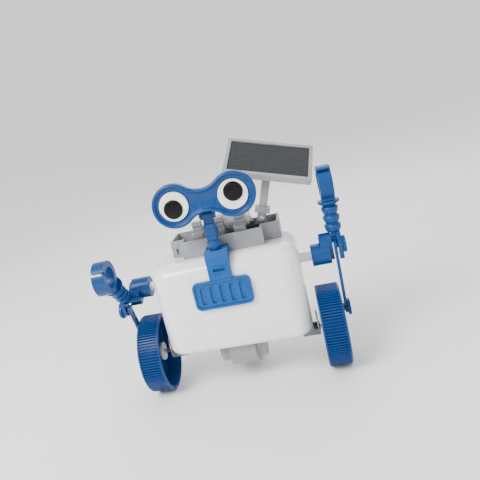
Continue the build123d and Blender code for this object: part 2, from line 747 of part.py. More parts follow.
# ---- shoulders, arms, claws and connecting rods ----
with BuildPart() as shoulder_pins:
    for side in (-1, 1):
        with BuildSketch(Plane.YZ.offset(side * 47)):
            with Locations(SHOULDER):
                Circle(SHOULDER_PIN_R)
        extrude(amount=side * 26.6)
        with BuildSketch(Plane.YZ.offset(side * 47)):
            with Locations(SHOULDER):
                Circle(5.5)
        extrude(amount=side * (BODY_HALF_X - WALL - 47))
save(shoulder_pins, "shoulder_pins")

for side_name, (side, lever_angle, arm_angle, crank_angle) in SIDES.items():
    elbow = step_from(SHOULDER, lever_angle, LEVER)
    crank = step_from(AXLE, crank_angle, CRANK_R)
    rod_pin = step_from(step_from(elbow, arm_angle, -ROD_PIN_DOWN), arm_angle + 90, ROD_PIN_FORWARD)
    tail_tip = step_from(step_from(elbow, arm_angle, -11.0), arm_angle + 90, 4.5)

    with BuildPart() as shoulder:
        with BuildSketch(Plane.YZ.offset(side * SLEEVE_IN)):
            with Locations(SHOULDER):
                Circle(SLEEVE_R)
        extrude(amount=side * (SLEEVE_OUT - SLEEVE_IN))
        with BuildSketch(Plane.YZ.offset(side * LEVER_IN)):
            hull_around((*SHOULDER, 5.6), (*elbow, 5.0))
        extrude(amount=side * (LEVER_OUT - LEVER_IN))
        with BuildSketch(side_plane(side * (LEVER_IN - 1), elbow, lever_angle)):
            Circle(ARM_PIN_R + RUNNING)
            with Locations((0, 5)):
                Rectangle(3.4, 10)
        extrude(amount=side * 12, mode=Mode.SUBTRACT)
        with BuildSketch(Plane.YZ.offset(side * (SLEEVE_IN - 1))):
            with Locations(SHOULDER):
                Circle(SHOULDER_PIN_R + RUNNING)
        extrude(amount=side * 13.2, mode=Mode.SUBTRACT)
    save(shoulder, f"shoulder_{side_name}")

    with BuildPart() as forearm:
        with BuildSketch(front_plane(side * ARM_X, elbow, arm_angle)):
            with BuildLine():
                Polyline((0, CUPS_FROM), *CUPS, (4.8, 24.8), (7.6, 26.6), (7.6, 28.0), (0, 28.0), close=True)
            make_face()
        revolve(axis=Axis((side * ARM_X, *elbow), (0, *direction(arm_angle))))
        with BuildSketch(side_plane(side * (LEVER_OUT + GAP), elbow, arm_angle)):
            with Locations((0, 5.2)):
                Rectangle(6.4, 5.6)
        extrude(amount=side * (TAIL_IN + TAIL_T - LEVER_OUT - GAP))
        with BuildSketch(side_plane(side * (LEVER_IN - 0.4), elbow, arm_angle)):
            Circle(ARM_PIN_R)
        extrude(amount=side * (TAIL_IN + 1 - LEVER_IN + 0.4))
        with BuildSketch(side_plane(side * TAIL_IN, elbow, arm_angle)):
            hull_around((0, 0, 4.4), (-ROD_PIN_FORWARD, -ROD_PIN_DOWN, 4.6), (0, 4, 3.6))
            hull_around((-ROD_PIN_FORWARD, -ROD_PIN_DOWN, 4.6), (-4.5, -11, 3.4))
        extrude(amount=side * TAIL_T)
        with BuildSketch(side_plane(side * (TAIL_IN - 1), rod_pin, arm_angle)):
            Circle(RIVET_R + RUNNING)
        extrude(amount=side * 6, mode=Mode.SUBTRACT)
        with BuildSketch(front_plane(side * ARM_X, elbow, arm_angle)):
            with Locations((0, 28)):
                Rectangle(3.0, 7.4, align=(Align.MIN, Align.MAX))
        revolve(axis=Axis((side * ARM_X, *elbow), (0, *direction(arm_angle))), mode=Mode.SUBTRACT)
    save(forearm, f"forearm_{side_name}")

    with BuildPart() as claw:
        with BuildSketch(side_plane(side * ARM_X - CLAW_T / 2, elbow, arm_angle)):
            with Locations((0, CLAW_UP)):
                Circle(CLAW_R)
                Circle(CLAW_BORE_R, mode=Mode.SUBTRACT)
            with Locations((0, CLAW_UP - CLAW_R - 0.9)):
                Rectangle(11, 4.2, align=(Align.CENTER, Align.MIN))
            with Locations(Location((0, CLAW_UP), -90 - CLAW_GAP[side_name])):
                Rectangle(2.6, 20, align=(Align.CENTER, Align.MAX), mode=Mode.SUBTRACT)
        extrude(amount=CLAW_T)
        with BuildSketch(front_plane(side * ARM_X, elbow, arm_angle)):
            with Locations((0, 29)):
                Rectangle(2.96, 8, align=(Align.MIN, Align.MAX))
        revolve(axis=Axis((side * ARM_X, *elbow), (0, *direction(arm_angle))))
    save(claw, f"claw_{side_name}")

    with BuildPart() as rod:
        with BuildSketch(Plane.YZ.offset(side * ROD_IN)):
            hull_around((*rod_pin, 3.0), (*crank, 3.0))
            with Locations(rod_pin):
                Circle(3.5)
            with Locations(crank):
                Circle(4.2)
            with Locations(rod_pin, crank):
                Circle(RIVET_R, mode=Mode.SUBTRACT)
        extrude(amount=side * ROD_T)
    save(rod, f"connecting_rod_{side_name}")

    with BuildPart() as rivets:
        for pin, head_x in ((rod_pin, TAIL_IN + TAIL_T + 0.2), (crank, ROD_IN + ROD_T)):
            with BuildSketch(Plane.YZ.offset(side * ROD_IN)):
                with Locations(pin):
                    Circle(RIVET_R)
            extrude(amount=side * (head_x - ROD_IN))
            with BuildSketch(Plane.YZ.offset(side * head_x)):
                with Locations(pin):
                    Circle(RIVET_HEAD_R)
            extrude(amount=side * 2)
    save(rivets, f"rod_rivets_{side_name}")

# ---- chest, neck and head ----
with BuildPart() as chest_grille:
    with BuildSketch(Plane.XZ.offset(-BODY_FRONT)):
        with Locations((FACE_X - 1.2, 78.2)):
            RectangleRounded(41.5, 20.4, 4.0)
    extrude(amount=2.6)
    with BuildSketch(Plane.XZ.offset(-BODY_FRONT + 2.6)):
        with Locations((FACE_X - 1.2, 78.2)):
            RectangleRounded(38.3, 17.2, 2.8)
    extrude(amount=-0.8, mode=Mode.SUBTRACT)
    with BuildSketch(Plane.XZ.offset(-BODY_FRONT + 3)):
        with Locations((FACE_X - 1.2, 78.2)):
            with GridLocations(7.0, 1, 5, 1):
                RectangleRounded(3.2, 12.6, 0.8)
    extrude(amount=-2.2, mode=Mode.SUBTRACT)
save(chest_grille, "chest_grille")

STRAP_W = 16.0
with BuildPart() as chest_strap:
    with BuildSketch(Plane.YZ.offset(FACE_X - STRAP_W / 2)):
        with BuildLine():
            Polyline((BODY_FRONT, 88.6), (BODY_FRONT - 2.6, 88.6), (BODY_FRONT - 2.6, 105.0),
                     (BODY_FRONT + 0.8, STRAP_TOP), (FRONT_TRAY[2], STRAP_TOP), (FRONT_TRAY[2], BODY_TOP),
                     (BODY_FRONT + TOP_R, BODY_TOP), (BODY_FRONT + 3.2, BODY_TOP - 3.2),
                     (BODY_FRONT, BODY_TOP - TOP_R), close=True)
        make_face()
    extrude(amount=STRAP_W)
    add(OUTSIDE, mode=Mode.SUBTRACT)
    # latch recess between two ridges
    with BuildSketch(Plane.XZ.offset(-BODY_FRONT + 2.6)):
        with Locations((FACE_X, 95.8)):
            RectangleRounded(8.0, 2.4, 0.8)
    extrude(amount=-1.2, mode=Mode.SUBTRACT)
    with BuildSketch(Plane.XZ.offset(-BODY_FRONT + 2.0)):
        with Locations((FACE_X, 94.0), (FACE_X, 97.6)):
            RectangleRounded(8.6, 1.2, 0.5)
    extrude(amount=1.3)
    # socket for the neck
    with BuildSketch(Plane.XY.offset(STRAP_TOP)):
        with Locations((FACE_X, NECK_Y)):
            Circle(2.5 + RUNNING)
    extrude(amount=-4, mode=Mode.SUBTRACT)
save(chest_strap, "chest_strap")

with BuildPart() as neck:
    with BuildSketch(Plane.XY.offset(STRAP_TOP - 3.6)):
        with Locations((FACE_X, NECK_Y)):
            Circle(2.5)
    extrude(amount=6)
    with BuildSketch(Plane.XZ.offset(-NECK_Y)):
        with BuildLine():
            Polyline((FACE_X, STRAP_TOP + 0.2), (FACE_X + 3.6, STRAP_TOP + 0.2), (FACE_X + 4.9, 111.6),
                     (FACE_X + 4.9, 115.2), (FACE_X + 3.9, 116.2), (FACE_X, 116.2), close=True)
        make_face()
    revolve(axis=Axis((FACE_X, NECK_Y, 0), (0, 0, 1)))
    with BuildSketch(Plane.XY.offset(116.2)):
        with Locations((FACE_X, NECK_Y)):
            RectangleRounded(7.6, 7.6, 1.2)
    extrude(amount=4.6)
    with BuildSketch(Plane.XY.offset(120.0)):
        with Locations((FACE_X, NECK_Y)):
            RectangleRounded(8.8, 8.8, 1.4)
    extrude(amount=7.2)
    with BuildSketch(Plane.XY.offset(127.2)):
        with Locations((FACE_X, NECK_Y)):
            RectangleRounded(7.0, 6.0, 1.0)
    extrude(amount=HEAD_TILT_Z - 127.2)
    with BuildSketch(Plane.YZ.offset(FACE_X - 3.5)):
        with Locations((NECK_Y, HEAD_TILT_Z)):
            Circle(3.0)
    extrude(amount=7.0)
    with BuildSketch(Plane.YZ.offset(FACE_X - 5)):
        with Locations((NECK_Y, HEAD_TILT_Z)):
            Circle(1.0 + RUNNING)
    extrude(amount=10, mode=Mode.SUBTRACT)
save(neck, "neck")


def head_outline(inset):
    """The dumbbell outline: two lobes joined by a waist with hollow arcs, drawn in by inset."""
    lobe_r = LOBE_R - inset
    waist = 8.0 - inset
    join_x = EYE_X - lobe_r * cos(radians(50))
    join_z = lobe_r * sin(radians(50))
    with Locations((-EYE_X, 0), (EYE_X, 0)):
        Circle(lobe_r)
    with BuildLine() as bridge:
        top = ThreePointArc((-join_x, join_z), (0, waist), (join_x, join_z))
        right = Line(top @ 1, (join_x, -join_z))
        bottom = ThreePointArc(right @ 1, (0, -waist), (-join_x, -join_z))
        Line(bottom @ 1, top @ 0)
    make_face(bridge.edges())


def head_plane(y):
    return Plane(origin=(0, y, HEAD_Z), x_dir=(1, 0, 0), z_dir=(0, -1, 0))


HEAD_MID = HEAD_FRONT + 5.0
HEAD_BACK = HEAD_MID + 2.6
with BuildPart() as head_frame:
    with BuildSketch(head_plane(HEAD_MID)):
        head_outline(0)
    extrude(amount=5.0)
    with BuildSketch(head_plane(HEAD_FRONT)):
        head_outline(2.6)
    extrude(amount=-1.2, mode=Mode.SUBTRACT)
    with BuildSketch(head_plane(HEAD_FRONT)):
        with Locations((-EYE_X, 0), (EYE_X, 0)):
            Circle(EYE_R + RUNNING)
    extrude(amount=-5, mode=Mode.SUBTRACT)
save(head_frame, "head_frame")

with BuildPart() as head_back:
    with BuildSketch(head_plane(HEAD_BACK)):
        head_outline(0.8)
    extrude(amount=HEAD_BACK - HEAD_MID)
    with BuildSketch(head_plane(HEAD_MID)):
        with Locations((-EYE_X, 0), (EYE_X, 0)):
            Circle(3.0 + RUNNING)
    extrude(amount=-5, mode=Mode.SUBTRACT)
    # two ears around the neck's top
    for ear in (-1, 1):
        with BuildSketch(Plane.YZ.offset(FACE_X + ear * (3.5 + GAP))):
            with Locations((NECK_Y, HEAD_TILT_Z)):
                Circle(3.0)
            with BuildLine():
                Polyline((NECK_Y, HEAD_TILT_Z - 3), (HEAD_BACK, HEAD_TILT_Z + 2), (HEAD_BACK, HEAD_Z + 3),
                         (NECK_Y, HEAD_TILT_Z + 3), close=True)
            make_face()
            with Locations((NECK_Y, HEAD_TILT_Z)):
                Circle(1.0, mode=Mode.SUBTRACT)
        extrude(amount=ear * 1.8)
save(head_back, "head_back")

with BuildPart() as head_pin:
    with BuildSketch(Plane.YZ.offset(FACE_X - 5.9)):
        with Locations((NECK_Y, HEAD_TILT_Z)):
            Circle(1.0)
    extrude(amount=11.8)
save(head_pin, "head_pin")

PUPILS = {"left": (-1, -110.0), "right": (1, 71.0)}
for side_name, (side, pupil_angle) in PUPILS.items():
    pupil_x = side * EYE_X + 1.9 * cos(radians(pupil_angle))
    pupil_z = 1.9 * sin(radians(pupil_angle))
    with BuildPart() as eye_disc:
        with BuildSketch(head_plane(HEAD_MID - GAP)):
            with Locations((side * EYE_X, 0)):
                Circle(EYE_R)
        extrude(amount=HEAD_MID - GAP - HEAD_FRONT - 0.6)
        with BuildSketch(head_plane(HEAD_BACK)):
            with Locations((side * EYE_X, 0)):
                Circle(3.0)
        extrude(amount=HEAD_BACK - HEAD_MID + GAP)
        with BuildSketch(head_plane(HEAD_FRONT)):
            with Locations((pupil_x, pupil_z)):
                Circle(6.5)
        extrude(amount=-1.2, mode=Mode.SUBTRACT)
    save(eye_disc, f"eye_{side_name}")

    with BuildPart() as pupil:
        with BuildSketch(head_plane(HEAD_FRONT + 1.2)):
            with Locations((pupil_x, pupil_z)):
                Circle(6.5)
        extrude(amount=1.6)
        fillet(pupil.faces().sort_by(Axis.Y)[0].edges(), radius=0.9)
    save(pupil, f"pupil_{side_name}")

# ---- solar panel on its mast ----
MAST_FOOT = (MAST_X, MAST_Y, MAST_Z)


def leaning(up, y, x=0.0):
    """A point up the leaning mast, x across it, at depth y."""
    lean = radians(MAST_LEAN)
    return (MAST_X + x * cos(lean) + up * sin(lean), y, MAST_Z - x * sin(lean) + up * cos(lean))


ACROSS = (cos(radians(MAST_LEAN)), 0, -sin(radians(MAST_LEAN)))
UPWARDS = (sin(radians(MAST_LEAN)), 0, cos(radians(MAST_LEAN)))

with BuildPart() as mast_socket:
    with BuildSketch(Plane.XY.offset(DECK_Z + DECK_WALL)):
        with Locations((MAST_X, MAST_Y)):
            Rectangle(7, 13)
    extrude(amount=DECK_TOP - 3 - DECK_Z - DECK_WALL)
    for y in (MAST_Y - 6.5, MAST_Y + 4.3):
        with BuildSketch(Plane.XZ.offset(-y)):
            with Locations((MAST_X, MAST_Z)):
                Circle(3.4)
                Rectangle(6.8, 6, align=(Align.CENTER, Align.MAX))
                Circle(1.2, mode=Mode.SUBTRACT)
        extrude(amount=-2.2)
save(mast_socket, "mast_socket")

with BuildPart() as mast_pin:
    with BuildSketch(Plane.XZ.offset(-(MAST_Y - 7.3))):
        with Locations((MAST_X, MAST_Z)):
            Circle(2.0)
    extrude(amount=-0.8)
    with BuildSketch(Plane.XZ.offset(-(MAST_Y - 7.3))):
        with Locations((MAST_X, MAST_Z)):
            Circle(1.2)
    extrude(amount=-13.8)
save(mast_pin, "mast_pin")

HINGE_UP = PANEL_UP
HINGE_Y = MAST_Y + 1.0
with BuildPart() as mast:
    with BuildSketch(Plane(origin=(MAST_X, MAST_Y + 4.0, MAST_Z), x_dir=ACROSS, z_dir=(0, -1, 0))):
        Circle(3.2)
        Rectangle(6.4, 4, align=(Align.CENTER, Align.MIN))
    extrude(amount=8.0)
    with BuildSketch(Plane(origin=leaning(3.8, MAST_Y), x_dir=ACROSS, z_dir=UPWARDS)):
        Rectangle(11.0, 8.0)
    extrude(amount=4.4)
    with BuildSketch(Plane(origin=leaning(8.2, MAST_Y), x_dir=ACROSS, z_dir=UPWARDS)):
        RectangleRounded(6.0, 3.6, 0.6)
    extrude(amount=HINGE_UP - 8.2 - 1.5)
    with BuildSketch(Plane(origin=leaning(HINGE_UP, MAST_Y + 1, -3.0), x_dir=(0, 1, 0), z_dir=ACROSS)):
        Circle(2.4)
        Circle(1.0 + RUNNING, mode=Mode.SUBTRACT)
    extrude(amount=6.0)
    with BuildSketch(Plane(origin=MAST_FOOT, x_dir=(1, 0, 0), z_dir=(0, -1, 0))):
        Circle(1.2 + RUNNING)
    extrude(amount=10, both=True, mode=Mode.SUBTRACT)
save(mast, "solar_mast")

TILT = radians(PANEL_TILT)
OUT_Y, OUT_UP = -cos(TILT), sin(TILT)
SLOPE_Y, SLOPE_UP = sin(TILT), cos(TILT)


def on_panel(out, along=0.0, x=0.0):
    """A point out from the panel hinge along the panel's normal, along its slope and x across."""
    return leaning(HINGE_UP + out * OUT_UP + along * SLOPE_UP, HINGE_Y + out * OUT_Y + along * SLOPE_Y, x)


PANEL_NORMAL = (OUT_UP * sin(radians(MAST_LEAN)), OUT_Y, OUT_UP * cos(radians(MAST_LEAN)))


def panel_plane(out, along=0.0, x=0.0):
    return Plane(origin=on_panel(out, along, x), x_dir=ACROSS, z_dir=PANEL_NORMAL)


with BuildPart() as panel_frame:
    with BuildSketch(panel_plane(3.2)):
        RectangleRounded(PANEL_W, PANEL_H, 0.8)
    extrude(amount=PANEL_T)
    with BuildSketch(panel_plane(3.2 + PANEL_T)):
        Rectangle(PANEL_W - 5.0, PANEL_H - 5.0)
    extrude(amount=-2.4, mode=Mode.SUBTRACT)
    # hinge lugs behind the tray
    for x in (-5.4, 3.3):
        with BuildSketch(Plane(origin=leaning(HINGE_UP, HINGE_Y, x), x_dir=(0, 1, 0), z_dir=ACROSS)):
            Circle(2.4)
            with Locations(Location((0, 0), 180 - PANEL_TILT)):
                Rectangle(3.4, 4.8, align=(Align.MIN, Align.CENTER))
            Circle(1.0, mode=Mode.SUBTRACT)
        extrude(amount=2.1)
save(panel_frame, "panel_frame")

with BuildPart() as solar_cell:
    with BuildSketch(panel_plane(3.2 + PANEL_T - 2.4)):
        Rectangle(PANEL_W - 5.2, PANEL_H - 5.2)
    extrude(amount=1.6)
save(solar_cell, "solar_cell")

with BuildPart() as panel_pin:
    with BuildSketch(Plane(origin=leaning(HINGE_UP, HINGE_Y, -5.6), x_dir=(0, 1, 0), z_dir=ACROSS)):
        Circle(1.0)
    extrude(amount=11.2)
save(panel_pin, "panel_pin")

# ---- rear caster ----
with BuildPart() as caster_bracket:
    with BuildSketch(Plane.YZ.offset(-8.8)):
        with BuildLine():
            Polyline((AXLE_Y + 19.6, BODY_BOTTOM + WALL), (AXLE_Y + 26.4, BODY_BOTTOM + WALL),
                     (AXLE_Y + 26.4, 30), (CASTER_Y + 4, 14), (CASTER_Y + 4.2, CASTER_R - 3.4),
                     (CASTER_Y - 4.2, CASTER_R - 3.4), (CASTER_Y - 5, 10), (AXLE_Y + 19.6, 26), close=True)
        make_face()
    extrude(amount=17.6)
    with BuildSketch(Plane.YZ.offset(-6.4)):
        with Locations((CASTER_Y, CASTER_R)):
            Circle(CASTER_R + 0.8)
            Rectangle(30, 12, align=(Align.CENTER, Align.MAX))
    extrude(amount=12.8, mode=Mode.SUBTRACT)
    with BuildSketch(Plane.YZ.offset(-10)):
        with Locations((CASTER_Y, CASTER_R)):
            Circle(1.2)
    extrude(amount=20, mode=Mode.SUBTRACT)
save(caster_bracket, "caster_bracket")

with BuildPart() as caster_pin:
    with BuildSketch(Plane.YZ.offset(-9.4)):
        with Locations((CASTER_Y, CASTER_R)):
            Circle(1.2)
    extrude(amount=18.8)
save(caster_pin, "caster_pin")

with BuildPart() as caster_roller:
    with BuildSketch(Plane.YZ.offset(-6.0)):
        with Locations((CASTER_Y, CASTER_R)):
            Circle(CASTER_R)
            Circle(1.2 + RUNNING, mode=Mode.SUBTRACT)
    extrude(amount=12.0)
    chamfer(caster_roller.edges().filter_by(GeomType.CIRCLE).filter_by(lambda e: e.radius > 3), 0.6)
save(caster_roller, "caster_roller")
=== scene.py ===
from math import atan2, cos, pi, radians, sin

import bmesh
import bpy
from mathutils import Matrix, Vector


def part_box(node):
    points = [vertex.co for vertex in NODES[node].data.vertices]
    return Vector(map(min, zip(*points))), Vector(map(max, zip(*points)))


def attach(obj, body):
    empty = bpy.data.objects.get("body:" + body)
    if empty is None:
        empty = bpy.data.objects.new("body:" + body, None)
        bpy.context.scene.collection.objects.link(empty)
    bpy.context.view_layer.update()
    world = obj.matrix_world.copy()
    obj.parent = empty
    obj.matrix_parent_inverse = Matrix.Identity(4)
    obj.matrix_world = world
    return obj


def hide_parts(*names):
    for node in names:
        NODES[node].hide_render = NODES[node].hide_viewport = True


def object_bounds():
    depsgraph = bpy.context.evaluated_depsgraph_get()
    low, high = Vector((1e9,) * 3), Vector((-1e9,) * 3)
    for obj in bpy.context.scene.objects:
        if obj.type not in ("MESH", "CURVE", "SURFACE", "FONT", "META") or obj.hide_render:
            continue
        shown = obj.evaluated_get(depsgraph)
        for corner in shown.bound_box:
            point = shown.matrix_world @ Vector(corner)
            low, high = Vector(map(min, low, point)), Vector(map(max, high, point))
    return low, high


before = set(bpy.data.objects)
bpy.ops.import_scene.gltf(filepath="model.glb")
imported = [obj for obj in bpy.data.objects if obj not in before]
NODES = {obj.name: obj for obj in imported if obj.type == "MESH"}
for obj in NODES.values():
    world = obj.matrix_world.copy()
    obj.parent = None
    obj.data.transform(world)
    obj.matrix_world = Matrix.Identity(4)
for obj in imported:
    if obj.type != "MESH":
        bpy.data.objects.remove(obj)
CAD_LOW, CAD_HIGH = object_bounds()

MM = 0.001


# ---- places taken from the frame ----
def centre(node):
    low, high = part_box(node)
    return (low + high) / 2


AXLE = centre("axle")
AXLE_Y, AXLE_Z = AXLE.y, AXLE.z


# ---- material building blocks ----
class Nodes:
    """A material's node tree with short ways to add and join nodes."""

    def __init__(self, name, colour, roughness, **shader):
        self.material = bpy.data.materials.new(name)
        self.material.use_nodes = True
        self.material.diffuse_color = (*colour, 1)
        self.tree = self.material.node_tree
        self.shader = self.tree.nodes["Principled BSDF"]
        self.shader.inputs["Base Color"].default_value = (*colour, 1)
        self.shader.inputs["Roughness"].default_value = roughness
        for socket, value in shader.items():
            self.shader.inputs[socket.replace("_", " ")].default_value = value
        self.place = self.add("ShaderNodeTexCoord").outputs["Object"]

    def add(self, kind, **values):
        node = self.tree.nodes.new(kind)
        for name, value in values.items():
            setattr(node, name, value)
        return node

    def link(self, output, target):
        self.tree.links.new(output, target)

    def noise(self, size, detail=4.0, stretch=(1, 1, 1)):
        """Noise whose lumps are about size metres across."""
        scaled = self.add("ShaderNodeMapping")
        scaled.inputs["Scale"].default_value = [factor / size for factor in stretch]
        self.link(self.place, scaled.inputs["Vector"])
        texture = self.add("ShaderNodeTexNoise")
        texture.inputs["Scale"].default_value = 1.0
        texture.inputs["Detail"].default_value = detail
        self.link(scaled.outputs[0], texture.inputs["Vector"])
        return texture.outputs["Fac"]

    def spread(self, value, low, high, start=0.3, end=0.7):
        """value from start to end turned into low to high."""
        ranged = self.add("ShaderNodeMapRange")
        for socket, number in (("From Min", start), ("From Max", end), ("To Min", low), ("To Max", high)):
            ranged.inputs[socket].default_value = number
        self.link(value, ranged.inputs["Value"])
        return ranged.outputs[0]

    def mix(self, factor, first, second):
        """Colour first where factor is 0 and second where it is 1."""
        mixed = self.add("ShaderNodeMix", data_type="RGBA")
        for socket, colour in ((mixed.inputs[6], first), (mixed.inputs[7], second)):
            if isinstance(colour, tuple):
                socket.default_value = (*colour, 1)
            else:
                self.link(colour, socket)
        self.link(factor, mixed.inputs[0])
        return mixed.outputs[2]

    def colour(self, output):
        self.link(output, self.shader.inputs["Base Color"])

    def roughness(self, output):
        self.link(output, self.shader.inputs["Roughness"])

    def bump(self, *layers):
        """Each layer is (height output, depth in metres)."""
        normal = None
        for height, depth in layers:
            step = self.add("ShaderNodeBump")
            step.inputs["Strength"].default_value = 1.0
            step.inputs["Distance"].default_value = depth
            self.link(height, step.inputs["Height"])
            if normal is not None:
                self.link(normal, step.inputs["Normal"])
            normal = step.outputs[0]
        self.link(normal, self.shader.inputs["Normal"])


def tinted(colour, factor):
    return tuple(min(1.0, channel * factor) for channel in colour)


def moulded(name, colour, roughness=0.35, grain=0.35 * MM, depth=0.012 * MM, **shader):
    """Injection-moulded plastic: cloudy colour, flow marks, fine grain and rubbed patches."""
    made = Nodes(name, colour, roughness, **shader)
    cloud = made.noise(9 * MM, 3.0)
    flow = made.noise(5 * MM, 5.0, (1.0, 1.0, 0.22))
    tone = made.mix(made.spread(cloud, 0, 1), tinted(colour, 0.90), tinted(colour, 1.07))
    rubbed = made.spread(made.noise(2.5 * MM, 6.0), 0, 0.16, 0.58, 0.78)
    made.colour(made.mix(rubbed, tone, tuple(0.9 * c + 0.1 * max(colour) for c in colour)))
    made.roughness(made.spread(flow, roughness - 0.07, roughness + 0.09))
    made.bump((made.noise(grain, 2.0), depth), (flow, 0.03 * MM))
    return made.material


def metal(name, colour, roughness, stretch=(1, 1, 1), **shader):
    """Metal with a drawn or turned grain along stretch and darker specks."""
    made = Nodes(name, colour, roughness, Metallic=1.0, **shader)
    grain = made.noise(0.5 * MM, 5.0, stretch)
    stain = made.spread(made.noise(3 * MM, 5.0), 0, 1, 0.45, 0.75)
    made.colour(made.mix(stain, colour, tinted(colour, 0.72)))
    made.roughness(made.spread(grain, roughness - 0.08, roughness + 0.14))
    made.bump((grain, 0.006 * MM))
    return made.material


def shell_white():
    """Thin glossy white shell that lets a little light through."""
    colour = (0.90, 0.905, 0.92)
    made = Nodes("shell white", colour, 0.16, Coat_Weight=0.6, Coat_Roughness=0.04,
                 Subsurface_Weight=0.25, Subsurface_Scale=0.004)
    made.shader.inputs["Subsurface Radius"].default_value = (1.0, 0.9, 0.85)
    cloud = made.noise(26 * MM, 3.0)
    fine = made.noise(4 * MM, 5.0)
    tone = made.mix(made.spread(cloud, 0, 1), (0.86, 0.865, 0.885), (0.93, 0.93, 0.94))
    made.colour(made.mix(made.spread(fine, 0, 0.25, 0.55, 0.8), tone, (0.82, 0.83, 0.86)))
    made.roughness(made.spread(fine, 0.12, 0.24))
    made.bump((made.noise(0.5 * MM, 2.0), 0.004 * MM), (cloud, 0.12 * MM))
    return made.material


def along(made, direction):
    """Each point's distance along a direction, in metres."""
    dot = made.add("ShaderNodeVectorMath", operation="DOT_PRODUCT")
    made.link(made.place, dot.inputs[0])
    dot.inputs[1].default_value = direction
    return dot.outputs["Value"]


def stripes(made, distance, pitch, share):
    """1 on lines every pitch metres, each share of the pitch wide, and 0 between them."""
    scaled = made.add("ShaderNodeMath", operation="DIVIDE")
    made.link(distance, scaled.inputs[0])
    scaled.inputs[1].default_value = pitch
    part = made.add("ShaderNodeMath", operation="FRACT")
    made.link(scaled.outputs[0], part.inputs[0])
    line = made.add("ShaderNodeMath", operation="LESS_THAN")
    made.link(part.outputs[0], line.inputs[0])
    line.inputs[1].default_value = share
    return line.outputs[0]


def solar_glass(slope):
    """Dark cell under clear resin, with fine silver lines along the long side and crystal flakes."""
    made = Nodes("solar cell", (0.020, 0.024, 0.026), 0.18, Coat_Weight=0.35, Coat_Roughness=0.05)
    flakes = made.add("ShaderNodeTexVoronoi")
    flakes.inputs["Scale"].default_value = 420.0
    made.link(made.place, flakes.inputs["Vector"])
    base = made.mix(made.spread(flakes.outputs["Distance"], 0, 1, 0.0, 1.0),
                    (0.009, 0.011, 0.012), (0.012, 0.015, 0.016))
    fine = made.mix(stripes(made, along(made, slope), CELL_LINE_PITCH, 0.16), base, (0.050, 0.056, 0.059))
    made.colour(fine)
    made.roughness(made.spread(made.noise(1.2 * MM), 0.14, 0.30))
    made.bump((made.noise(6 * MM, 3.0), 0.05 * MM))
    return made.material


def printed_label(name, sleeve, band):
    """Battery sleeve: a coloured band at one end and a shrink-wrap sheen."""
    made = Nodes(name, sleeve, 0.25, Metallic=0.5)
    edge = made.spread(along(made, (1, 0, 0)), 0, 1, 12 * MM, 12.2 * MM)
    made.colour(made.mix(edge, sleeve, band))
    made.roughness(made.spread(made.noise(2 * MM), 0.2, 0.38))
    made.bump((made.noise(1 * MM, 3.0, (4, 1, 1)), 0.01 * MM))
    return made.material


# the panel's long lines follow its slope: the mast's lean, then the panel's own tilt
LEAN = radians(18.5)
PANEL_TILT = radians(55.0)
CELL_LINE_PITCH = 1.8 * MM
SLOPE = (cos(PANEL_TILT) * sin(LEAN), sin(PANEL_TILT), cos(PANEL_TILT) * cos(LEAN))

BLUE = (0.0002, 0.047, 0.190)
LOOKS = {
    "shell": shell_white(),
    "blue": moulded("arm blue", BLUE, 0.36, Specular_IOR_Level=0.3),
    "head blue": moulded("head blue", (0.0002, 0.045, 0.180), 0.30, Specular_IOR_Level=0.32),
    "chest blue": moulded("chest blue", (0.0005, 0.074, 0.280), 0.40, Specular_IOR_Level=0.3),
    "wheel blue": moulded("wheel blue", (0.0002, 0.042, 0.180), 0.40, Specular_IOR_Level=0.3),
    "grey": moulded("deck grey", (0.270, 0.278, 0.295), 0.42),
    "dark grey": moulded("plate grey", (0.190, 0.198, 0.210), 0.46),
    "hub": moulded("hub grey", (0.480, 0.490, 0.510), 0.38),
    "panel grey": moulded("panel grey", (0.330, 0.335, 0.345), 0.34, Coat_Weight=0.2, Coat_Roughness=0.15),
    "nylon": moulded("gear nylon", (0.78, 0.78, 0.75), 0.38, Subsurface_Weight=0.1, Subsurface_Scale=0.002),
    "pin white": moulded("pin white", (0.80, 0.80, 0.80), 0.28, Coat_Weight=0.3, Coat_Roughness=0.08),
    "eye white": moulded("eye white", (0.86, 0.86, 0.84), 0.24, Coat_Weight=0.4, Coat_Roughness=0.06),
    "pupil": moulded("pupil black", (0.0012, 0.0012, 0.0015), 0.22, Specular_IOR_Level=0.22),
    "black": moulded("bush black", (0.030, 0.030, 0.033), 0.45),
    "rubber": moulded("roller rubber", (0.035, 0.035, 0.038), 0.75, 0.5 * MM, 0.05 * MM),
    "steel": metal("drawn steel", (0.60, 0.60, 0.61), 0.28, (0.15, 1, 1)),
    "can": metal("motor can", (0.56, 0.56, 0.57), 0.32, (0.2, 1, 1)),
    "brass": metal("pinion brass", (0.72, 0.53, 0.24), 0.30),
    "cell": solar_glass(SLOPE),
    "battery": printed_label("battery sleeve", (0.10, 0.11, 0.13), (0.55, 0.42, 0.10)),
}

